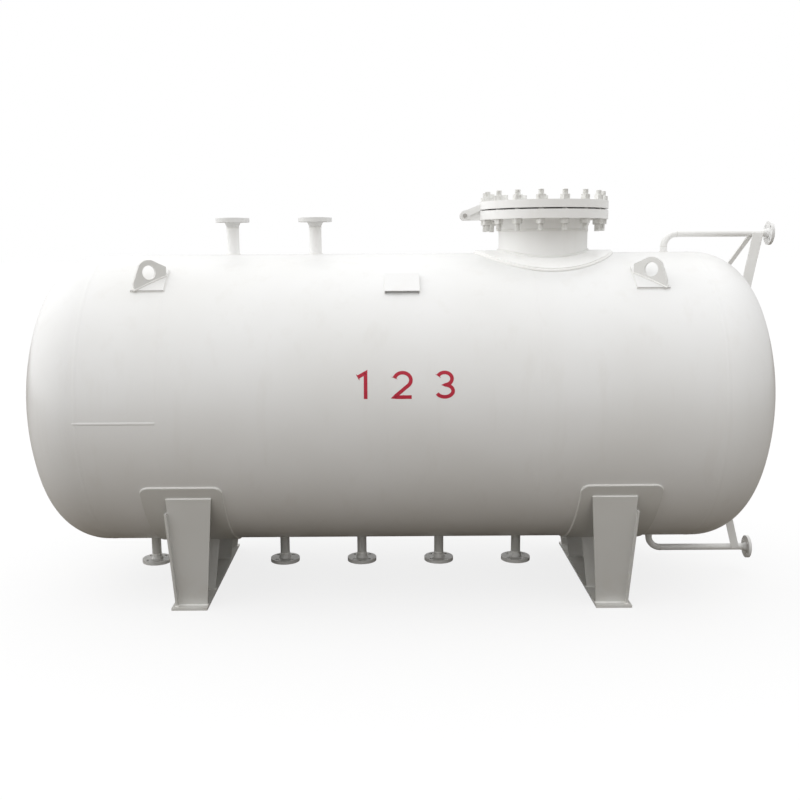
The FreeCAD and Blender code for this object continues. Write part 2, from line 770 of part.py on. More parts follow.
def lug_pad_corners(side, turn):
    """Corners of a curved plate on the shell between two angles from the top; side is the
    sign of its y and turn is 1 at the front, -1 at the back."""
    def corner(radius, angle):
        return ("%s(%s) * sin(%s)" % (side, radius, angle), "(%s) * cos(%s)" % (radius, angle))
    outer = "pad_seat + lug_pad_thickness"
    return [corner(outer, "lug_pad_high_angle") + (outer, turn),
            corner(outer, "lug_pad_low_angle"),
            corner("pad_seat", "lug_pad_low_angle") + ("pad_seat", -turn),
            corner("pad_seat", "lug_pad_high_angle")]


def make_lug_pads():
    body = new_body("lifting_lug_pads")
    lift = "lug_pad_x - lug_pad_width / 2"
    pads = [pad(body, outline(body, "YZ", lug_pad_corners(side, turn), lift), "lug_pad_width")
            for side, turn in (("-", 1), ("", -1))]
    mirrored(body, pads, "YZ")
    keep(place(body, z="axis_height"))


def make_lugs():
    seat = place(cylinder("lug_seat_tool", "lug_seat", "2 * seam_to_seam"),
                 x="-seam_to_seam", z="axis_height", turn=ALONG_X)
    rim = "lug_radius"
    profile = [("-lug_outer_foot", "-2 * lug_radius"),
               ("lug_inner_foot", "-2 * lug_radius"),
               ("lug_inner_foot", "lug_inner_toe"),
               (rim + " * cos(lug_inner_angle)", rim + " * sin(lug_inner_angle)", rim, 1),
               (rim + " * cos(lug_outer_angle)", rim + " * sin(lug_outer_angle)"),
               ("-lug_outer_foot", "-lug_outer_toe")]
    turn = value("lug_turn")
    for side, y, sign in (("front", "-lug_y", 1), ("back", "lug_y", -1)):
        for end, x, inward in (("left", "-lug_x", turn), ("right", "lug_x", 180 - turn)):
            label = "lifting_lug_%s_%s" % (side, end)
            plate = new_body(label + "_plate")
            pad(plate, outline(plate, "XZ", profile), "lug_thickness", both_ways=True)
            pocket(plate, circles(plate, "XZ", [("0", "0", "lug_eye_diameter / 2")]))
            place(plate, x=x, y=y, z="lug_eye_z", turn=turned(0, 0, 1, sign * inward))
            keep(boolean("Cut", label, plate, seat))


def make_plate_bracket():
    """An open channel on the front of the shell that would carry a nameplate."""
    body = new_body("nameplate_bracket")
    half = "plate_bracket_width / 2"
    inner = half + " - plate_bracket_thickness"
    under = "shell_radius + plate_bracket_standoff"
    top = under + " + plate_bracket_thickness"
    channel = [("-" + half, "bore_radius"), ("-(" + inner + ")", "bore_radius"),
               ("-(" + inner + ")", under), (inner, under), (inner, "bore_radius"),
               (half, "bore_radius"), (half, top), ("-" + half, top)]
    pad(body, outline(body, "XZ", channel), "plate_bracket_height", both_ways=True)
    pocket(body, circles(body, "YZ", [("0", "0", "pad_seat")]))
    lean = turned(1, 0, 0, value("plate_bracket_angle"))
    keep(place(body, x="plate_bracket_x", z="axis_height", turn=lean))


# ---------------------------------------------------------------- saddles

def make_wear_plate(label, x):
    body = new_body(label)
    wrap = "wear_plate_half_wrap"
    inner = "pad_seat"
    outer = "wear_outer"

    def corner(radius, side):
        return (side + "(" + radius + ") * sin(" + wrap + ")", "-(" + radius + ") * cos(" + wrap + ")")
    corners = [corner(outer, "-") + (outer, 1), corner(outer, ""),
               corner(inner, "") + (inner, -1), corner(inner, "-")]
    sheet = pad(body, outline(body, "YZ", corners), "wear_plate_width", both_ways=True)
    doc.recompute()
    thickness = value("wear_plate_thickness")
    radial = ["Edge%d" % number for number, edge in enumerate(sheet.Shape.Edges, start=1)
              if abs(edge.Length - thickness) < 0.001]
    rounding = body.newObject("PartDesign::Fillet", label + "_corners")
    rounding.Base = (sheet, radial)
    rounding.setExpression("Radius", linked("wear_plate_corner"))
    body.Tip = rounding
    keep(place(body, x=x, z="axis_height"))


def make_base_plate(label, x):
    body = new_body(label)
    half_width = "base_width / 2"
    half_length = "base_length / 2"
    corners = [("-" + half_width, "-" + half_length), (half_width, "-" + half_length),
               (half_width, half_length), ("-" + half_width, half_length)]
    pad(body, outline(body, "XY", corners), "base_thickness")
    holes = [("0", side + "anchor_spacing / 2", "anchor_hole / 2") for side in ("-", "")]
    pocket(body, circles(body, "XY", holes))
    keep(place(body, x=x))


def mirror_y(corners):
    return [("-(" + across + ")", up) for across, up in corners]


def make_saddle(name, side):
    """One saddle; side is the sign of x of its outer face, as text."""
    centre = side + "saddle_x"
    foot = "base_thickness"
    head = "rib_head_height"
    make_base_plate(name + "_base_plate", centre)
    make_wear_plate(name + "_wear_plate", side + "(saddle_x + wear_plate_offset)")
    seat = place(cylinder(name + "_seat", "rib_seat", "2 * wear_plate_width"),
                 x=centre + " - wear_plate_width", z="axis_height", turn=ALONG_X)

    def section(part, plane, outlines, depth):
        body = new_body("%s_%s" % (name, part))
        sketch = new_sketch(body, plane, "0")
        for corners in outlines:
            draw_outline(sketch, corners)
        pad(body, sketch, depth, both_ways=True)
        return place(body, x=centre)

    def seated(part, *sections):
        sheet = boolean("Common", "%s_%s_sheet" % (name, part), *sections)
        keep(boolean("Cut", "%s_%s" % (name, part), sheet, seat))

    inner_sign = "-" if side == "" else ""
    tapered = [(inner_sign + "rib_foot_inner", foot), (side + "rib_foot_outer", foot),
               (side + "rib_head_outer", head), (inner_sign + "rib_head_inner", head)]
    taper = section("taper", "XZ", [tapered], "2 * base_length")
    slanted = [("-end_plate_foot_y", foot), ("-end_plate_foot_y + end_plate_thickness", foot),
               ("-end_plate_head_y + end_plate_thickness", head), ("-end_plate_head_y", head)]
    ends = section("end_slab", "YZ", [slanted, mirror_y(slanted)], "2 * base_width")
    seated("end_plates", taper, ends)
    near = "rib_y - rib_thickness / 2"
    far = "rib_y + rib_thickness / 2"
    upright = [(near, foot), (far, foot), (far, head), (near, head)]
    ribs = section("rib_slab", "YZ", [upright, mirror_y(upright)], "2 * base_width")
    seated("ribs", taper, ribs)
    leaning = [(side + "rib_foot_outer", foot),
               (side + "(rib_foot_outer + web_thickness)", foot),
               (side + "(rib_head_outer + web_thickness)", head), (side + "rib_head_outer", head)]
    web = section("web_slab", "XZ", [leaning], "2 * base_length")
    fan = [("-web_foot_y", foot), ("web_foot_y", foot),
           ("web_head_y", "web_head_height"), ("-(web_head_y)", "web_head_height")]
    seated("web", web, section("web_face", "YZ", [fan], "2 * base_width"))


# ---------------------------------------------------------------- the whole tank

def check_and_write():
    doc.recompute()
    faults = [item.Name for item in doc.Objects
              if "Invalid" in item.State or "Error" in item.State]
    faults += [label for label, item in nodes.items()
               if item.Shape.isNull() or not item.Shape.isValid() or not item.Shape.Solids]
    if faults:
        raise RuntimeError("not built: " + ", ".join(faults))
    os.makedirs("parts", exist_ok=True)
    for label, item in sorted(nodes.items()):
        item.Shape.exportStep("parts/%s.step" % label)
        print("%-28s %2d solids %12.0f mm3" % (label, len(item.Shape.Solids), item.Shape.Volume))


def main():
    fill_sheet()
    make_shell()
    make_heads()
    make_seam_welds()
    make_manway_pad()
    make_manway_neck()
    make_manway_joint()
    make_manway_studs()
    make_hinge()
    make_nozzles()
    make_gauge_lines()
    make_stays()
    make_lug_pads()
    make_lugs()
    make_plate_bracket()
    make_saddle("saddle_left", "-")
    make_saddle("saddle_right", "")
    check_and_write()


main()
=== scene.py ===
"""Looks of the horizontal pressure tank: painted plate, weld beads, threaded studs, painted
figures, and a white studio. Metres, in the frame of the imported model."""

import math
import random

import bmesh
import bpy
from mathutils import Matrix, Vector


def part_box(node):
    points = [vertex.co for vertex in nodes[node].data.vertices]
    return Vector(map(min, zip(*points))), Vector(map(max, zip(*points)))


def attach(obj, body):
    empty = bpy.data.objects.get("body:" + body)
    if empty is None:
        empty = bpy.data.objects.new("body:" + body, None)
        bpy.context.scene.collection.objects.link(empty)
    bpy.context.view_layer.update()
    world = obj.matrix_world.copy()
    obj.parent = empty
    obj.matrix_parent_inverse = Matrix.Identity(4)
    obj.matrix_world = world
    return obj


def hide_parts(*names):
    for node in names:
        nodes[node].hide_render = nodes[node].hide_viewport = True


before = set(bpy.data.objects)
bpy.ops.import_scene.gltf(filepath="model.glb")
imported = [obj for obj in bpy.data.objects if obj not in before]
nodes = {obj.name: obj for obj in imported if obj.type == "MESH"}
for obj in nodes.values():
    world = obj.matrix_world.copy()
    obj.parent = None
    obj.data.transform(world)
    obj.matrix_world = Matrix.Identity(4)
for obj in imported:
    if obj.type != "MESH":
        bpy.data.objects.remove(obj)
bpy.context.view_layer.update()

MM = 0.001
NEAR = 1 * MM      # how close a vertex must lie to a level to count as on it
UP = Vector((0, 0, 1))

# ------------------------------------------------------------------ places from the frame


def span(node, keep=lambda point: True):
    """Lowest and highest corner of the vertices of a CAD node that pass a test."""
    points = [v.co for v in nodes[node].data.vertices if keep(v.co)]
    low = Vector([min(p[i] for p in points) for i in range(3)])
    high = Vector([max(p[i] for p in points) for i in range(3)])
    return low, high


shell_low, shell_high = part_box("shell")
SHELL_RADIUS = (shell_high.y - shell_low.y) / 2
AXIS_Z = (shell_low.z + shell_high.z) / 2
HALF_SHELL = shell_high.x
BASE_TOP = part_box("saddle_left_base_plate")[1].z


def middle(node):
    low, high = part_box(node)
    return (low + high) / 2


def on_shell(x, angle, rise=0.0):
    """Point and outward normal on the shell; angle is from the top, positive to the back."""
    normal = Vector((0, math.sin(angle), math.cos(angle)))
    return Vector((x, 0, AXIS_Z)) + normal * (SHELL_RADIUS + rise), normal


# ------------------------------------------------------------------ material helpers


def empty_tree(owner):
    """The node tree of a material or world, cleared."""
    owner.use_nodes = True
    owner.node_tree.nodes.clear()
    return owner.node_tree


def new_material(name):
    """A material with one Principled shader, its node tree and that shader."""
    material = bpy.data.materials.new(name)
    tree = empty_tree(material)
    output = tree.nodes.new("ShaderNodeOutputMaterial")
    shader = tree.nodes.new("ShaderNodeBsdfPrincipled")
    tree.links.new(shader.outputs[0], output.inputs["Surface"])
    return material, tree, shader


def feed(tree, socket, value):
    """Links a socket to another one, or sets it to a plain value."""
    if isinstance(value, bpy.types.NodeSocket):
        tree.links.new(value, socket)
    else:
        socket.default_value = value


def add_node(tree, kind, **inputs):
    """A node with its inputs fed by name, or by place for a name such as _0."""
    node = tree.nodes.new("ShaderNode" + kind)
    for key, value in inputs.items():
        feed(tree, node.inputs[int(key[1:])] if key[0] == "_" else node.inputs[key], value)
    return node


def maths_node(tree, kind, operation, values):
    node = tree.nodes.new("ShaderNode" + kind)
    node.operation = operation
    for socket, value in zip(node.inputs, values):
        feed(tree, socket, value)
    return node


def arithmetic(tree, operation, *values):
    """One result from two or three numbers, such as MULTIPLY or MULTIPLY_ADD gives."""
    return maths_node(tree, "Math", operation, values).outputs[0]


def blend_colours(tree, share, first, second):
    node = tree.nodes.new("ShaderNodeMix")
    node.data_type = "RGBA"
    for name, value in (("Factor", share), ("A", first), ("B", second)):
        feed(tree, next(s for s in node.inputs if s.name == name and s.enabled), value)
    return next(s for s in node.outputs if s.enabled)


def remap(tree, value, low, high, to_low, to_high):
    """The value's range low to high stretched onto another range."""
    names = ("From Min", "From Max", "To Min", "To Max")
    inputs = dict(zip(names, (low, high, to_low, to_high)))
    return add_node(tree, "MapRange", Value=value, **inputs).outputs[0]


def noise(tree, vector, scale, detail=2.0, roughness=0.5):
    return add_node(tree, "TexNoise", Vector=vector, Scale=scale, Detail=detail,
                    Roughness=roughness).outputs["Fac"]


def place_of(tree):
    """Where a point of the surface is, in the tank's own metres."""
    return tree.nodes.new("ShaderNodeTexCoord").outputs["Object"]


def stretched(tree, vector, scale):
    """The same place with each axis scaled, for a pattern drawn out one way."""
    return add_node(tree, "Mapping", Vector=vector, Scale=scale).outputs[0]


def bump(tree, height, strength, distance, normal=None):
    inputs = {"Height": height, "Strength": strength, "Distance": distance}
    if normal is not None:
        inputs["Normal"] = normal
    return add_node(tree, "Bump", **inputs).outputs[0]


# ------------------------------------------------------------------ materials

WHITE = (0.80, 0.802, 0.798, 1)
CREAM = (0.765, 0.764, 0.752, 1)
# brownish tone for the dirt runs, and for the dust and painted shade low down
DUST_AND_SHADE = (0.50, 0.45, 0.37, 1)
# grey standing for the white paint in the shade under the tank: painted shade
SHADED_DRAIN_WHITE = (0.60, 0.60, 0.58, 1)


def paint(name, white=WHITE, shade=CREAM, roughness=0.34, dust_and_shade_height=0.16, coarse=0.0):
    """Sprayed gloss paint over plate: drifts of tone, faint runs, orange peel, and dust with
    painted shade darkening it low down.
    """
    material, tree, shader = new_material(name)
    place = place_of(tree)
    drift = remap(tree, noise(tree, place, 1.7, 3), 0.35, 0.68, 0, 1)
    tone = blend_colours(tree, drift, white, shade)
    runs = noise(tree, stretched(tree, place, (14, 14, 0.9)), 1.0, 4, 0.55)
    runs = remap(tree, runs, 0.55, 0.80, 0, 0.10)
    tone = blend_colours(tree, runs, tone, DUST_AND_SHADE)
    # colour darkened towards the bottom: partly dust patches, partly painted shade
    height = add_node(tree, "SeparateXYZ", Vector=place).outputs["Z"]
    low = remap(tree, height, 0.0, dust_and_shade_height, 0.30, 0.0)
    patches = remap(tree, noise(tree, place, 18, 4, 0.6), 0.38, 0.72, 0.25, 1.0)
    tone = blend_colours(tree, arithmetic(tree, "MULTIPLY", low, patches), tone, DUST_AND_SHADE)
    tree.links.new(tone, shader.inputs["Base Color"])
    dull = remap(tree, noise(tree, place, 5, 3), 0.3, 0.7, roughness - 0.04, roughness + 0.07)
    tree.links.new(dull, shader.inputs["Roughness"])
    shader.inputs["Coat Weight"].default_value = 0.12
    shader.inputs["Coat Roughness"].default_value = 0.12
    waves = bump(tree, noise(tree, place, 3.2, 2), 0.10, 0.010)
    peel = bump(tree, noise(tree, place, 420, 2), 0.06 + coarse, 0.0006, waves)
    tree.links.new(peel, shader.inputs["Normal"])
    return material


def figure_paint():
    """Brushed red enamel, thinner and duller where the brush has dragged."""
    material, tree, shader = new_material("red_enamel")
    place = place_of(tree)
    drag = noise(tree, stretched(tree, place, (30, 30, 160)), 1.0, 4, 0.6)
    share = remap(tree, drag, 0.35, 0.75, 0, 1)
    tone = blend_colours(tree, share, (0.48, 0.000, 0.026, 1), (0.41, 0.001, 0.024, 1))
    tree.links.new(tone, shader.inputs["Base Color"])
    tree.links.new(remap(tree, drag, 0.3, 0.7, 0.34, 0.50), shader.inputs["Roughness"])
    tree.links.new(bump(tree, drag, 0.15, 0.0004), shader.inputs["Normal"])
    return material


def plated_steel(name, tone, dark, roughness, metallic):
    """Zinc-plated steel, mottled, with dark stains in places."""
    material, tree, shader = new_material(name)
    place = place_of(tree)
    mottle = noise(tree, place, 60, 5, 0.65)
    share = remap(tree, mottle, 0.42, 0.72, 0, 1)
    tree.links.new(blend_colours(tree, share, tone, dark), shader.inputs["Base Color"])
    shader.inputs["Metallic"].default_value = metallic
    rough = remap(tree, mottle, 0.3, 0.7, roughness - 0.06, roughness + 0.16)
    tree.links.new(rough, shader.inputs["Roughness"])
    tree.links.new(bump(tree, noise(tree, place, 700, 3), 0.2, 0.0003), shader.inputs["Normal"])
    return material


def gasket_sheet():
    """Compressed fibre sheet with a speckled, slightly frayed edge."""
    material, tree, shader = new_material("gasket_sheet")
    place = place_of(tree)
    fleck = remap(tree, noise(tree, place, 320, 4, 0.7), 0.4, 0.7, 0, 1)
    tone = blend_colours(tree, fleck, (0.030, 0.031, 0.033, 1), (0.085, 0.083, 0.080, 1))
    tree.links.new(tone, shader.inputs["Base Color"])
    tree.links.new(remap(tree, fleck, 0, 1, 0.72, 0.88), shader.inputs["Roughness"])
    tree.links.new(bump(tree, fleck, 0.4, 0.0004), shader.inputs["Normal"])
    return material


GROOVE_PITCH = 0.8 * MM
FACING = 0.9       # least cosine between a joint's axis and the normals of its face


def flange_paint(name, centre, along, face_radius, white):
    """Paint as on the tank, but the raised joint face is bare and turned with fine grooves."""
    material = paint(name, white)
    tree = material.node_tree
    painted = tree.nodes["Principled BSDF"]
    place = place_of(tree)
    offset = maths_node(tree, "VectorMath", "SUBTRACT", (place, centre)).outputs[0]
    flat = [1 - abs(a) for a in along]
    across = maths_node(tree, "VectorMath", "MULTIPLY", (offset, flat)).outputs[0]
    radius = maths_node(tree, "VectorMath", "LENGTH", (across,)).outputs["Value"]
    normal = tree.nodes.new("ShaderNodeNewGeometry").outputs["Normal"]
    facing = maths_node(tree, "VectorMath", "DOT_PRODUCT", (normal, along)).outputs["Value"]
    on_face = arithmetic(tree, "GREATER_THAN", facing, FACING)
    inside = arithmetic(tree, "LESS_THAN", radius, face_radius)
    bare_share = arithmetic(tree, "MULTIPLY", on_face, inside)
    bare = tree.nodes.new("ShaderNodeBsdfPrincipled")
    bare.inputs["Metallic"].default_value = 1.0
    stain = noise(tree, place, 45, 4, 0.6)
    tone = blend_colours(tree, remap(tree, stain, 0.4, 0.75, 0, 1), (0.50, 0.49, 0.47, 1),
                         (0.36, 0.30, 0.25, 1))
    tree.links.new(tone, bare.inputs["Base Color"])
    tree.links.new(remap(tree, stain, 0.3, 0.7, 0.26, 0.45), bare.inputs["Roughness"])
    turns = arithmetic(tree, "MULTIPLY", radius, math.tau / GROOVE_PITCH)
    grooves = arithmetic(tree, "SINE", turns)
    tree.links.new(bump(tree, grooves, 0.35, 0.00006), bare.inputs["Normal"])
    mix = add_node(tree, "MixShader", _0=bare_share, _1=painted.outputs[0], _2=bare.outputs[0])
    tree.links.new(mix.outputs[0], tree.nodes["Material Output"].inputs["Surface"])
    return material


shell_paint = paint("shell_paint")
# the saddles' paint is the shell's white made darker: painted shade
plate_paint = paint("plate_paint", (0.69, 0.69, 0.672, 1), (0.645, 0.643, 0.622, 1), 0.40,
                    dust_and_shade_height=0.22, coarse=0.03)
lug_paint = paint("lug_paint", (0.80, 0.80, 0.785, 1), (0.75, 0.75, 0.73, 1), 0.42)
# the pipes' paint is the shell's white made lighter: painted light
pipe_paint = paint("pipe_paint", (0.93, 0.93, 0.92, 1), (0.89, 0.89, 0.875, 1), 0.36)
# the drain pipes' white paint darkened: painted shade from under the tank
shaded_drain_paint = paint("shaded_drain_paint", SHADED_DRAIN_WHITE, (0.53, 0.525, 0.50, 1), 0.42)
# the beads' paint is lighter than the shell's: painted highlight on the weld edges
bead_paint = paint("bead_paint", (0.86, 0.86, 0.84, 1), (0.80, 0.795, 0.77, 1), 0.42, coarse=0.10)
stud_steel = plated_steel("stud_steel", (0.80, 0.80, 0.78, 1), (0.62, 0.61, 0.58, 1), 0.42, 0.35)
pin_steel = plated_steel("pin_steel", (0.60, 0.59, 0.57, 1), (0.40, 0.38, 0.35, 1), 0.32, 0.85)
gasket_black = gasket_sheet()
red_enamel = figure_paint()

# ------------------------------------------------------------------ mesh helpers


SHARP_EDGE = math.radians(40)


def finish_piece(name, mesh, material, replaced=()):
    """Turns a bmesh into a smooth-shaded piece of the tank."""
    bmesh.ops.recalc_face_normals(mesh, faces=mesh.faces)
    data = bpy.data.meshes.new(name)
    mesh.to_mesh(data)
    mesh.free()
    data.materials.append(material)
    data.polygons.foreach_set("use_smooth", [True] * len(data.polygons))
    data.set_sharp_from_angle(angle=SHARP_EDGE)
    piece = bpy.data.objects.new(name, data)
    bpy.context.scene.collection.objects.link(piece)
    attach(piece, "root")
    if replaced:
        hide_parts(*replaced)
    return piece


def skin(mesh, rings, closed):
    """Joins equal rings of points into a tube; an open tube gets flat ends."""
    loops = [[mesh.verts.new(point) for point in ring] for ring in rings]
    count = len(loops[0])
    last = len(loops) if closed else len(loops) - 1
    for index in range(last):
        here, there = loops[index], loops[(index + 1) % len(loops)]
        for k in range(count):
            following = (k + 1) % count
            mesh.faces.new((here[k], here[following], there[following], there[k]))
    if not closed:
        mesh.faces.new(loops[0])
        mesh.faces.new(loops[-1])


RIPPLE = 3 * MM        # half the pitch of a weld's ripples
RIPPLE_DEPTH = 0.10    # share of a bead's size that its ripples take away
GROUND_SMOOTH = 0.02   # the same, where a bead has been dressed
BEAD_SIDES = 10
BEAD_TIP = 0.5         # size of an open bead's two ends, as a share of the bead's
CORNER_STEPS = 6


def evenly(path, closed, step=RIPPLE):
    """The path's points again, spaced evenly along it, an even number when it is closed."""
    ends = path + path[:1] if closed else path
    lengths = [(b[0] - a[0]).length for a, b in zip(ends, ends[1:])]
    total = sum(lengths)
    count = max(2, 2 * round(total / step / 2))
    spaced = []
    index, passed = 0, 0.0
    for k in range(count if closed else count + 1):
        target = min(total * k / count, total - 1e-9)
        while passed + lengths[index] < target:
            passed += lengths[index]
            index += 1
        share = (target - passed) / lengths[index]
        (start, start_up), (end, end_up) = ends[index], ends[index + 1]
        spaced.append((start.lerp(end, share), start_up.lerp(end_up, share).normalized()))
    return spaced


def bead(mesh, path, width, rise, closed=False, ripple=RIPPLE_DEPTH):
    """A rippled weld bead along points that each carry their surface normal."""
    points = evenly(path, closed)
    rings = []
    for index, (point, normal) in enumerate(points):
        before = points[index - 1 if closed or index else 0][0]
        after = points[(index + 1) % len(points) if closed else min(index + 1, len(points) - 1)][0]
        side = (after - before).normalized().cross(normal).normalized()
        scale = 1 - ripple * (index % 2)
        if not closed and index in (0, len(points) - 1):
            scale = BEAD_TIP
        ring = []
        for k in range(BEAD_SIDES):
            angle = math.tau * k / BEAD_SIDES
            across = side * (math.cos(angle) * width / 2)
            ring.append(point + (across + normal * (math.sin(angle) * rise)) * scale)
        rings.append(ring)
    skin(mesh, rings, closed)


def fillet(mesh, path, size, closed=False, ripple=RIPPLE_DEPTH):
    """A bead whose legs are as long as its size, in a corner between two faces."""
    bead(mesh, path, 2 * size, size, closed, ripple)


def hoop(centre, radius, along, count=48):
    """Points round a circle with outward normals."""
    along = Vector(along)
    first = along.orthogonal().normalized()
    second = along.cross(first)
    points = []
    for k in range(count):
        angle = math.tau * k / count
        outward = first * math.cos(angle) + second * math.sin(angle)
        points.append((Vector(centre) + outward * radius, outward))
    return points


def pipe_foot(x, radius, surface_radius, side=1, count=72):
    """Points where an upright pipe meets a cylinder about the tank's axis."""
    points = []
    for k in range(count):
        angle = math.tau * k / count
        y = radius * math.sin(angle)
        z = side * math.sqrt(surface_radius ** 2 - y ** 2)
        outward = Vector((math.cos(angle), math.sin(angle), side)).normalized()
        points.append((Vector((x + radius * math.cos(angle), y, AXIS_Z + z)), outward))
    return points


def shell_patch(x_low, x_high, angle_low, angle_high, corner, steps):
    """Edge of a rectangular plate rolled onto the shell, with rounded corners."""
    flat_low = angle_low * SHELL_RADIUS
    flat_high = angle_high * SHELL_RADIUS
    corners = [(x_low, flat_low, 180), (x_high, flat_low, 270), (x_high, flat_high, 0),
               (x_low, flat_high, 90)]
    flat = []
    for x, along, start in corners:
        inward_x = x + math.copysign(corner, (x_low + x_high) / 2 - x)
        inward_s = along + math.copysign(corner, (flat_low + flat_high) / 2 - along)
        for k in range(CORNER_STEPS + 1):
            angle = math.radians(start + 90 * k / CORNER_STEPS)
            flat.append((inward_x + corner * math.cos(angle), inward_s + corner * math.sin(angle)))
    edge = []
    for (x0, s0), (x1, s1) in zip(flat, flat[1:] + flat[:1]):
        for k in range(steps):
            share = k / steps
            edge.append(on_shell(x0 + (x1 - x0) * share, (s0 + (s1 - s0) * share) / SHELL_RADIUS))
    return edge


# ------------------------------------------------------------------ ends and seams of the shell

WALL = 12 * MM
STRAIGHT_FLANGE = 25 * MM
KNUCKLE_RADIUS = 241.78 * MM    # inside radii of the two arcs of a 2:1 end
CROWN_RADIUS = 1266.3 * MM
KNUCKLE_STEPS = 24
CROWN_STEPS = 36
POLE_RADIUS = 1 * MM            # of the small flat at the middle of the crown
END_SIDES = 240


def end_profile(offset):
    """Half section of a dished end from its seam to its pole, as (reach, radius)."""
    knuckle_up = SHELL_RADIUS - WALL - KNUCKLE_RADIUS
    meeting = math.asin(knuckle_up / (CROWN_RADIUS - KNUCKLE_RADIUS))
    crown_centre = STRAIGHT_FLANGE - (CROWN_RADIUS - KNUCKLE_RADIUS) * math.cos(meeting)
    points = [(0.0, SHELL_RADIUS - WALL + offset)]
    for k in range(KNUCKLE_STEPS + 1):
        angle = math.pi / 2 + (meeting - math.pi / 2) * k / KNUCKLE_STEPS
        points.append((STRAIGHT_FLANGE + (KNUCKLE_RADIUS + offset) * math.cos(angle),
                       knuckle_up + (KNUCKLE_RADIUS + offset) * math.sin(angle)))
    last = POLE_RADIUS / (CROWN_RADIUS + offset)
    for k in range(1, CROWN_STEPS + 1):
        angle = meeting + (last - meeting) * k / CROWN_STEPS
        points.append((crown_centre + (CROWN_RADIUS + offset) * math.cos(angle),
                       (CROWN_RADIUS + offset) * math.sin(angle)))
    return points


def dished_end(name, node, side):
    """The same end as the CAD's, turned with a regular mesh so that its crown shades evenly."""
    profile = end_profile(0.0)[::-1] + end_profile(WALL)
    rings = []
    for reach, radius in profile:
        x = side * (HALF_SHELL + reach)
        ring = []
        for k in range(END_SIDES):
            angle = math.tau * k / END_SIDES
            ring.append(Vector((x, radius * math.sin(angle), AXIS_Z + radius * math.cos(angle))))
        rings.append(ring)
    mesh = bmesh.new()
    skin(mesh, rings, closed=False)
    finish_piece(name, mesh, shell_paint, replaced=(node,))


GIRTH_STEPS = 360
HEAD_SEAM_SHARE = 0.35    # how much of the CAD cap's height the dressed seam keeps


def girth(x):
    """Points all round the shell, with their normals."""
    return [on_shell(x, math.tau * k / GIRTH_STEPS) for k in range(GIRTH_STEPS)]


def head_seams():
    """Caps of the two girth welds that join the heads."""
    low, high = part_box("seam_welds")
    crown = (high.y - low.y) / 2
    width = high.x - HALF_SHELL
    mesh = bmesh.new()
    rise = HEAD_SEAM_SHARE * (crown - SHELL_RADIUS)
    for x in (-HALF_SHELL, HALF_SHELL):
        bead(mesh, girth(x), 2 * width, rise, True, GROUND_SMOOTH)
    finish_piece("head_seam_beads", mesh, shell_paint, replaced=("seam_welds",))


COURSE_SEAMS = (-1.075, 0.61)
LONG_SEAM_ANGLE = math.radians(-90.7)
LONG_SEAM_PAST_HEAD = 12 * MM
SEAM_WIDTH = 13 * MM
SEAM_RISE = 0.45 * MM
LONG_SEAM_RISE = 1.6 * MM


def course_seams():
    """Flat, well-painted seams between the rolled courses of the shell."""
    mesh = bmesh.new()
    for x in COURSE_SEAMS:
        bead(mesh, girth(x), SEAM_WIDTH, SEAM_RISE, True, GROUND_SMOOTH)
    ends = (-HALF_SHELL - LONG_SEAM_PAST_HEAD, COURSE_SEAMS[0])
    line = [on_shell(x, LONG_SEAM_ANGLE) for x in ends]
    bead(mesh, line, SEAM_WIDTH, LONG_SEAM_RISE, ripple=GROUND_SMOOTH)
    finish_piece("course_seam_beads", mesh, shell_paint)


# ------------------------------------------------------------------ manway

manway_centre = middle("manway_neck")
NECK_RADIUS = (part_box("manway_neck")[1].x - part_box("manway_neck")[0].x) / 2
MANWAY_FILLET = 9 * MM
HUB_BEAD = (14 * MM, 2 * MM)    # width and rise


def manway_welds():
    """Beads round the pad, round the neck's foot and where the neck joins its flange."""
    pad_low, pad_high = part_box("manway_pad")
    pad_thickness = pad_high.z - AXIS_Z - SHELL_RADIUS
    hub_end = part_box("manway_neck")[1].z
    mesh = bmesh.new()
    x = manway_centre.x
    pad_edge = pipe_foot(x, (pad_high.x - pad_low.x) / 2, SHELL_RADIUS, 1, 180)
    fillet(mesh, pad_edge, MANWAY_FILLET, True, GROUND_SMOOTH)
    neck_foot = pipe_foot(x, NECK_RADIUS, SHELL_RADIUS + pad_thickness, 1, 120)
    fillet(mesh, neck_foot, MANWAY_FILLET, True)
    bead(mesh, hoop((x, 0, hub_end), NECK_RADIUS, UP, 120), *HUB_BEAD, True)
    finish_piece("manway_weld_beads", mesh, bead_paint)


THREAD_PITCH = 3 * MM
THREAD_DEPTH = 1.3 * MM
THREAD_SIDES = 20
ROWS_PER_TURN = 4
POINT_CUTS = (1.5, 1.1)      # how deep a rod's end rows are cut, in thread depths


def add_thread(mesh, centre, radius, low, high):
    """A threaded rod, chamfered at both ends."""
    rows = max(2, round((high - low) / THREAD_PITCH * ROWS_PER_TURN))
    rings = []
    for row in range(rows + 1):
        z = low + (high - low) * row / rows
        end = min(row, rows - row)
        ring = []
        for k in range(THREAD_SIDES):
            angle = math.tau * k / THREAD_SIDES
            phase = (k / THREAD_SIDES + z / THREAD_PITCH) % 1
            cut = THREAD_DEPTH * abs(2 * phase - 1)
            if end < len(POINT_CUTS):
                cut = THREAD_DEPTH * POINT_CUTS[end]
            spot = Vector((math.cos(angle), math.sin(angle), 0)) * (radius - cut)
            ring.append(centre + spot + UP * z)
        rings.append(ring)
    skin(mesh, rings, closed=False)


NUT_STEPS = 6
NUT_FACE_SHARE = 0.96     # radius of a nut's flat face, as a share of half its width
NUT_CHAMFER = math.tan(math.radians(28))
NUT_COUNTERSINK = 1.5 * MM


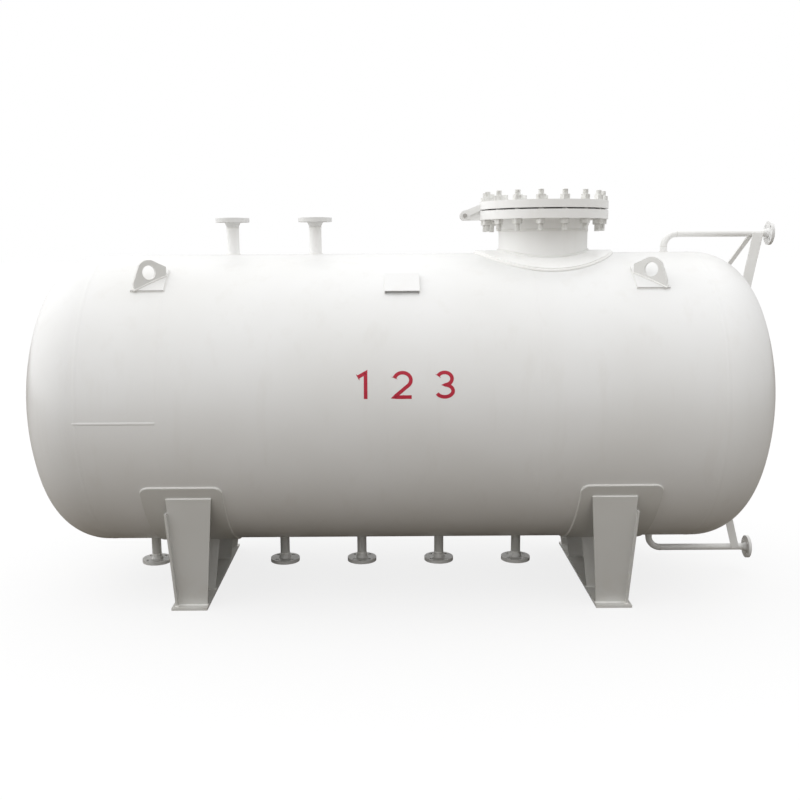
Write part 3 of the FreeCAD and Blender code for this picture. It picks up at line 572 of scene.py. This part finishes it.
def add_nut(mesh, centre, flats, bore, low, high, turn):
    """A hexagon nut with both faces turned off at the corners and a countersunk bore."""
    across = []
    for side in range(6):
        for step in range(NUT_STEPS):
            start = math.radians(60 * side)
            end = math.radians(60 * side + 60)
            share = step / NUT_STEPS
            corner = flats / 2 / math.cos(math.radians(30))
            first = Vector((math.cos(start), math.sin(start), 0)) * corner
            second = Vector((math.cos(end), math.sin(end), 0)) * corner
            across.append(first.lerp(second, share))
    spin = Matrix.Rotation(turn, 3, "Z")
    across = [spin @ point for point in across]
    flat_radius = flats / 2 * NUT_FACE_SHARE

    def drop(point):
        """How far the chamfer has cut down at a point of the outline."""
        return max(0.0, point.length - flat_radius) * NUT_CHAMFER

    rings = [
        [centre + p.normalized() * bore + UP * low for p in across],
        [centre + p.normalized() * flat_radius + UP * low for p in across],
        [centre + p + UP * (low + drop(p)) for p in across],
        [centre + p + UP * (high - drop(p)) for p in across],
        [centre + p.normalized() * flat_radius + UP * high for p in across],
        [centre + p.normalized() * (bore + NUT_COUNTERSINK) + UP * high for p in across],
        [centre + p.normalized() * bore + UP * (high - NUT_COUNTERSINK) for p in across],
    ]
    skin(mesh, rings, closed=True)


STUDS = 16
NUT_FLATS = 41 * MM
NUT_HEIGHT = 24 * MM


def stud_centres():
    """Centre and radius of every CAD stud, from the points of its flat tip."""
    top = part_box("manway_studs")[1].z
    vertices = nodes["manway_studs"].data.vertices
    tips = [v.co - manway_centre for v in vertices if v.co.z > top - NEAR]
    for k in range(STUDS):
        angle = math.tau * (k + 0.5) / STUDS
        along = Vector((math.cos(angle), math.sin(angle)))
        tip = [p.xy for p in tips if p.xy.normalized().dot(along) > math.cos(math.pi / STUDS)]
        centre = sum(tip, Vector((0, 0))) / len(tip)
        radius = max((p - centre).length for p in tip)
        yield Vector((manway_centre.x + centre.x, centre.y, 0)), radius


def studs_and_nuts():
    """Sixteen stud bolts, each with a nut at both ends, in the places of the CAD solids."""
    low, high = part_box("manway_studs")
    rim = middle("manway_flange").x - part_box("manway_flange")[0].x

    def on_rim(point):
        return (point.xy - manway_centre.xy).length > rim - NEAR

    flange_back = span("manway_flange", on_rim)[0].z
    cover_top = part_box("manway_cover")[1].z
    rods = bmesh.new()
    nuts = bmesh.new()
    random.seed(7)
    for centre, radius in stud_centres():
        add_thread(rods, centre, radius, low.z, high.z)
        for bottom in (cover_top, flange_back - NUT_HEIGHT):
            turn = random.uniform(0, math.radians(60))
            top = bottom + NUT_HEIGHT
            add_nut(nuts, centre, NUT_FLATS, radius - THREAD_DEPTH, bottom, top, turn)
    finish_piece("manway_stud_rods", rods, stud_steel, ("manway_studs",))
    finish_piece("manway_stud_nuts", nuts, stud_steel)


# ------------------------------------------------------------------ nozzles and gauge lines


NOZZLE_COUNTS = (("top_nozzle", 2, 1), ("bottom_nozzle", 5, -1))
NOZZLE_REACH = 0.1              # along the tank, half the strip that holds one nozzle
NOZZLE_FILLET = 6 * MM
NOZZLE_BEAD = (7 * MM, 1.3 * MM)
GAUGE_FILLET = 5 * MM
GAUGE_FLANGE_BEAD = (6 * MM, 1.2 * MM)
GAUGE_BEND_BEAD = (6 * MM, 1.0 * MM)
GAUGE_BEND_RADIUS = 62 * MM
ALONG = (1, 0, 0)


def nozzle_welds():
    """Beads at both ends of every pipe, and at both ends of the gauge pipes' bends."""
    mesh = bmesh.new()
    for row, count, side in NOZZLE_COUNTS:
        for number in range(1, count + 1):
            centre = middle("%s_flange_%d" % (row, number))
            low, high = span(row + "_pipes", lambda p: abs(p.x - centre.x) < NOZZLE_REACH)
            radius = (high.x - low.x) / 2
            joint = high.z if side > 0 else low.z
            fillet(mesh, pipe_foot(centre.x, radius, SHELL_RADIUS, side), NOZZLE_FILLET, True)
            bead(mesh, hoop((centre.x, 0, joint), radius, UP), *NOZZLE_BEAD, True)
    for name, side in (("gauge_pipe_top", 1), ("gauge_pipe_bottom", -1)):
        low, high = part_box(name)
        radius = (high.y - low.y) / 2
        x = low.x + radius
        fillet(mesh, pipe_foot(x, radius, SHELL_RADIUS, side, 48), GAUGE_FILLET, True)
        z = high.z - radius if side > 0 else low.z + radius
        bead(mesh, hoop((high.x, 0, z), radius, ALONG), *GAUGE_FLANGE_BEAD, True)
        bead(mesh, hoop((x + GAUGE_BEND_RADIUS, 0, z), radius, ALONG), *GAUGE_BEND_BEAD, True)
        bend_foot = (x, 0, z - side * GAUGE_BEND_RADIUS)
        bead(mesh, hoop(bend_foot, radius, UP), *GAUGE_BEND_BEAD, True)
    finish_piece("nozzle_weld_beads", mesh, bead_paint)


# ------------------------------------------------------------------ lugs and bracket


LUG_PAD_THICKNESS = 9 * MM
LUG_SEAT = SHELL_RADIUS + 9.6 * MM      # the pad's top, with the gaps under it and on it
LUG_SEAT_REACH = 0.5 * MM               # how far off it a vertex of a lug's foot may lie
LUG_WIDTH_WEIGHT = 3                    # makes the width of a foot count when corners are sought
LUG_PAD_CORNER = 4 * MM
PAD_FILLET = 3 * MM
LUG_FILLET = 5 * MM
FOOT_STEPS = 12
LUGS = (("front_left", -1, -1), ("back_left", -1, 1), ("front_right", 1, -1), ("back_right", 1, 1))


def lug_welds():
    """Beads round the four lug pads, and round each lug's foot."""
    mesh = bmesh.new()
    for name, sx, sy in LUGS:
        low, high = span("lifting_lug_pads", lambda p: p.x * sx > 0 and p.y * sy > 0)
        far = max(abs(low.y), abs(high.y))
        near = min(abs(low.y), abs(high.y))
        outer = math.asin(far / (SHELL_RADIUS + LUG_PAD_THICKNESS))
        inner = math.asin(near / SHELL_RADIUS)
        angles = sorted((sy * outer, sy * inner))
        edge = shell_patch(low.x, high.x, *angles, LUG_PAD_CORNER, 6)
        fillet(mesh, edge, PAD_FILLET, True, GROUND_SMOOTH)
        lug_foot(mesh, "lifting_lug_" + name)
    finish_piece("lug_weld_beads", mesh, bead_paint)


def lug_foot(mesh, name):
    """Bead all round the foot of a lifting lug, on the top of its pad."""
    foot = [v.co.copy() for v in nodes[name].data.vertices
            if abs(math.hypot(v.co.y, v.co.z - AXIS_Z) - LUG_SEAT) < LUG_SEAT_REACH]
    centre = sum(foot, Vector()) / len(foot)
    # the foot is a slanted strip: its corners come from its long way and its width
    long_way = max(foot, key=lambda p: (p - centre).length) - centre
    long_way.z = 0
    long_way.normalize()
    cross_way = LUG_WIDTH_WEIGHT * UP.cross(long_way)
    ends = [max(foot, key=lambda p: (p - centre).dot(a * long_way + b * cross_way))
            for a, b in ((1, 1), (-1, 1), (-1, -1), (1, -1))]
    path = []
    for start, end in zip(ends, ends[1:] + ends[:1]):
        for k in range(FOOT_STEPS):
            flat = start.lerp(end, k / FOOT_STEPS)
            lift = math.sqrt(LUG_SEAT ** 2 - flat.y ** 2)
            normal = Vector((0, flat.y, lift)).normalized()
            path.append((Vector((flat.x, flat.y, AXIS_Z + lift)), normal))
    fillet(mesh, path, LUG_FILLET, True)


BRACKET_LIP_LOW = 9 * MM        # from the bracket's box to the ends of its welds
BRACKET_LIP_HIGH = 11 * MM


def bracket_welds():
    """Beads down both sides of the nameplate bracket."""
    low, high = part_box("nameplate_bracket")
    mesh = bmesh.new()
    start, end = [math.asin(y / SHELL_RADIUS)
                  for y in (low.y + BRACKET_LIP_LOW, high.y - BRACKET_LIP_HIGH)]
    for x in (low.x, high.x):
        edge = [on_shell(x, start + (end - start) * k / FOOT_STEPS) for k in range(FOOT_STEPS + 1)]
        fillet(mesh, edge, PAD_FILLET)
    finish_piece("bracket_weld_beads", mesh, bead_paint)


# ------------------------------------------------------------------ saddles


SADDLE_SEAT = SHELL_RADIUS + 8.6 * MM   # the wear plate's outside, with the gaps on both sides
WEAR_PLATE_CORNER = 38 * MM
WEAR_PLATE_FILLET = 4 * MM
SADDLE_FILLET = 5 * MM
WEB_HALF_REACH = 0.56
WEB_STEPS = 60


def near_foot(point):
    return point.z < BASE_TOP + NEAR


def foot_loop(node, keep=lambda point: True):
    """Rectangle of a plate's foot on the base plate, with upward normals."""
    low, high = span(node, lambda p: keep(p) and near_foot(p))
    corners = [(low.x, low.y), (high.x, low.y), (high.x, high.y), (low.x, high.y)]
    return [(Vector((x, y, BASE_TOP)), UP) for x, y in corners]


def on_seat(x, y):
    """Point and downward normal on the underside of the wear plate."""
    z = AXIS_Z - math.sqrt(SADDLE_SEAT ** 2 - y ** 2)
    return Vector((x, y, z)), Vector((0, y, z - AXIS_Z)).normalized()


def saddle_welds(side):
    """Beads round a saddle's wear plate, its plates' feet and the tops of end plates and web."""
    name = "saddle_" + side
    mesh = bmesh.new()
    low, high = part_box(name + "_wear_plate")
    wrap = math.acos((AXIS_Z - high.z) / SHELL_RADIUS)
    patch = shell_patch(low.x, high.x, math.pi - wrap, math.pi + wrap, WEAR_PLATE_CORNER, 24)
    fillet(mesh, patch, WEAR_PLATE_FILLET, True, GROUND_SMOOTH)
    low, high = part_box(name + "_end_plates")
    drop = AXIS_Z - high.z
    for sy in (-1, 1):
        y = sy * math.sqrt(SADDLE_SEAT ** 2 - drop ** 2)
        up = Vector((0, y, drop)).normalized()
        fillet(mesh, [(Vector((x, y, high.z)), up) for x in (low.x, high.x)], SADDLE_FILLET)
    for part in ("end_plates", "ribs"):
        for sy in (-1, 1):
            loop = foot_loop("%s_%s" % (name, part), lambda p: p.y * sy > 0)
            fillet(mesh, loop, SADDLE_FILLET, True)
    fillet(mesh, foot_loop(name + "_web"), SADDLE_FILLET, True)
    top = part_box(name + "_web")[1].z
    foot = span(name + "_web", near_foot)
    head = span(name + "_web", lambda p: p.z > top - NEAR)
    for face in (0, 1):
        foot_x, head_x = foot[face].x, head[face].x
        path = []
        for k in range(WEB_STEPS + 1):
            spot, down = on_seat(0, WEB_HALF_REACH * (2 * k / WEB_STEPS - 1))
            spot.x = foot_x + (head_x - foot_x) * (spot.z - BASE_TOP) / (top - BASE_TOP)
            path.append((spot, down))
        fillet(mesh, path, SADDLE_FILLET)
    finish_piece(name + "_weld_beads", mesh, bead_paint)


# ------------------------------------------------------------------ painted figures

FIGURES = (("1", -0.205), ("2", -0.040), ("3", 0.146))    # figure and the x of its left side
FIGURE_BASE = 94 * MM         # round the shell, above its foremost line
FIGURE_HEIGHT = 121 * MM
FIGURE_WIDTH = 145 * MM       # of a figure one unit wide
STROKE = 16 * MM
FILM = 0.35 * MM              # thickness of the paint
FILM_LIFT = 0.15 * MM
STROKE_STEP = 0.04            # longest straight piece of a stroke, in figure heights
STROKE_GAP = 0.2 * MM         # points that lie closer than this count as one
MITRE_LIMIT = 0.5             # least cosine that a corner is mitred for


def arc(cx, cy, rx, ry, start, end, count=22):
    """Points of an elliptical arc between two angles in degrees."""
    points = []
    for k in range(count + 1):
        angle = math.radians(start + (end - start) * k / count)
        points.append((cx + rx * math.cos(angle), cy + ry * math.sin(angle)))
    return points


def figure_strokes(figure):
    """Centre lines of a plain figure, in a box 0.62 wide and 1 high."""
    if figure == "1":
        return [[(0.10, 0.78), (0.34, 0.94), (0.34, 0.0)]]
    if figure == "2":
        return [arc(0.31, 0.67, 0.25, 0.27, 165, -38) + [(0.06, 0.06), (0.58, 0.06)]]
    upper = arc(0.29, 0.715, 0.22, 0.225, 155, -90)
    lower = arc(0.29, 0.275, 0.25, 0.215, 90, -155)
    return [upper + lower]


def add_stroke(mesh, line, x, base):
    """A flat stroke of paint laid on the shell along a line, with mitred corners."""
    dense = []
    for (ax, ay), (bx, by) in zip(line, line[1:]):
        steps = max(1, math.ceil(math.hypot(bx - ax, by - ay) / STROKE_STEP))
        dense += [(ax + (bx - ax) * k / steps, ay + (by - ay) * k / steps) for k in range(steps)]
    dense.append(line[-1])
    points = [Vector((px * FIGURE_WIDTH, py * FIGURE_HEIGHT)) for px, py in dense]
    points = [p for i, p in enumerate(points) if i == 0 or (p - points[i - 1]).length > STROKE_GAP]
    rings = []
    for index, point in enumerate(points):
        into = (point - points[max(index - 1, 0)]) or (points[1] - points[0])
        out = (points[min(index + 1, len(points) - 1)] - point) or into
        bisector = (into.normalized() + out.normalized()).normalized()
        sharpness = max(MITRE_LIMIT, bisector.dot(into.normalized()))
        across = Vector((-bisector.y, bisector.x)) * (STROKE / 2 / sharpness)
        ring = []
        for share, lift in ((-1, 0), (-1, 1), (0, 1), (1, 1), (1, 0), (0, 0)):
            flat = point + across * share
            angle = -math.pi / 2 + (base + flat.y) / SHELL_RADIUS
            spot, _ = on_shell(x + flat.x, angle, FILM_LIFT + FILM * lift)
            ring.append(spot)
        rings.append(ring)
    skin(mesh, rings, closed=False)


def painted_figures():
    """The red figures on the front of the shell."""
    mesh = bmesh.new()
    for figure, x in FIGURES:
        for line in figure_strokes(figure):
            add_stroke(mesh, line, x, FIGURE_BASE)
    finish_piece("painted_figures", mesh, red_enamel)


# ------------------------------------------------------------------ paint on the CAD parts


def paint_nodes():
    """Gives every CAD node its finish."""
    for name, node in nodes.items():
        material = shell_paint
        if "lifting_lug_" in name and name != "lifting_lug_pads":
            material = lug_paint
        elif name.startswith("saddle"):
            material = plate_paint
        elif name == "manway_gasket":
            material = gasket_black
        elif name == "manway_hinge_pin":
            material = pin_steel
        elif "nozzle_flange" in name or "gauge_flange" in name:
            material = jointed_flange(name)
        elif name == "bottom_nozzle_pipes":
            material = shaded_drain_paint
        elif "nozzle" in name or "gauge" in name or "manway" in name:
            material = pipe_paint
        node.material_slots[0].material = material


# the way each row's joint faces look, and their radius
JOINTS = {"gauge": (ALONG, 34 * MM), "top": ((0, 0, 1), 51 * MM), "bottom": ((0, 0, -1), 44 * MM)}


def jointed_flange(name):
    """Flange paint set out on the flange of that name."""
    along, face_radius = JOINTS[name.split("_")[0]]
    # the bottom flanges get the same painted shade as the drain pipes
    white = SHADED_DRAIN_WHITE if name.startswith("bottom") else WHITE
    return flange_paint(name + "_paint", middle(name), along, face_radius, white)


# ------------------------------------------------------------------ studio

SKY = 0.682           # radiance of the soft light at the horizon
SKY_HIGH = 1.10       # how much brighter it grows towards the zenith
SKY_LEFT = 1.55       # how much brighter it grows towards the left
PURE_WHITE = (1, 1, 1, 1)
GROUND_TONE = (0.150, 0.128, 0.100, 1)    # of the floor, as light from it meets the tank
FLOOR_GLOW = 0.80
FLOOR_TONE = (0.17, 0.17, 0.17, 1)        # of the floor, as the camera sees it
FLOOR_HALF_WIDTH = 120


def show_and_light(tree, output, lighting, shown):
    """The camera sees one shader, and the tank is lit by the other."""
    seen = tree.nodes.new("ShaderNodeLightPath").outputs["Is Camera Ray"]
    mix = add_node(tree, "MixShader", _0=seen, _1=lighting.outputs[0], _2=shown.outputs[0])
    tree.links.new(mix.outputs[0], output.inputs["Surface"])


def soft_sky():
    """Soft white light from all over the sky, on a white backdrop."""
    world = bpy.data.worlds.new("studio")
    bpy.context.scene.world = world
    tree = empty_tree(world)
    output = tree.nodes.new("ShaderNodeOutputWorld")
    direction = tree.nodes.new("ShaderNodeTexCoord").outputs["Generated"]
    split = add_node(tree, "SeparateXYZ", Vector=direction)
    leftward = arithmetic(tree, "MAXIMUM", arithmetic(tree, "MULTIPLY", split.outputs["X"], -1), 0)
    squared = arithmetic(tree, "MULTIPLY", leftward, leftward)
    strength = arithmetic(tree, "MULTIPLY_ADD", squared, SKY_LEFT * SKY, SKY)
    strength = arithmetic(tree, "MULTIPLY_ADD", split.outputs["Z"], SKY_HIGH * SKY, strength)
    light = add_node(tree, "Background", Color=PURE_WHITE, Strength=strength)
    backdrop = add_node(tree, "Background", Color=PURE_WHITE, Strength=1.0)
    show_and_light(tree, output, light, backdrop)


def floor():
    """A wide pale floor; it looks pale but sends little light back up at the tank."""
    mesh = bmesh.new()
    bmesh.ops.create_grid(mesh, x_segments=1, y_segments=1, size=FLOOR_HALF_WIDTH)
    data = bpy.data.meshes.new("floor")
    mesh.to_mesh(data)
    mesh.free()
    ground = bpy.data.objects.new("floor", data)
    bpy.context.scene.collection.objects.link(ground)
    material = bpy.data.materials.new("pale_floor")
    tree = empty_tree(material)
    output = tree.nodes.new("ShaderNodeOutputMaterial")
    glow = add_node(tree, "Emission", Color=PURE_WHITE, Strength=FLOOR_GLOW)
    pale = add_node(tree, "BsdfDiffuse", Color=FLOOR_TONE)
    both = add_node(tree, "AddShader", _0=glow.outputs[0], _1=pale.outputs[0])
    dark = add_node(tree, "BsdfDiffuse", Color=GROUND_TONE)
    show_and_light(tree, output, dark, both)
    data.materials.append(material)


LENS = 42.75
SHIFT_X = 0.0138
SHIFT_Y = 0.019
EYE = (-0.055, -4.78, 1.688)
LOOK_DOWN = 0.174       # radians below level
LEAN = -0.0066          # radians about the line of sight
VIEW_DEPTH = 400


def camera():
    data = bpy.data.cameras.new("camera")
    data.lens = LENS
    data.shift_x = SHIFT_X
    data.shift_y = SHIFT_Y
    data.clip_end = VIEW_DEPTH
    eye = bpy.data.objects.new("camera", data)
    eye.location = EYE
    tilt = Matrix.Rotation(math.radians(90) - LOOK_DOWN, 3, "X")
    roll = Matrix.Rotation(LEAN, 3, "Z")
    eye.rotation_euler = (tilt @ roll).to_euler()
    bpy.context.scene.collection.objects.link(eye)
    bpy.context.scene.camera = eye


# ------------------------------------------------------------------ the whole picture

bpy.context.scene.view_settings.view_transform = "Standard"
camera()
soft_sky()
floor()
paint_nodes()
dished_end("dished_end_left", "head_left", -1)
dished_end("dished_end_right", "head_right", 1)
head_seams()
course_seams()
manway_welds()
studs_and_nuts()
nozzle_welds()
lug_welds()
bracket_welds()
saddle_welds("left")
saddle_welds("right")
painted_figures()
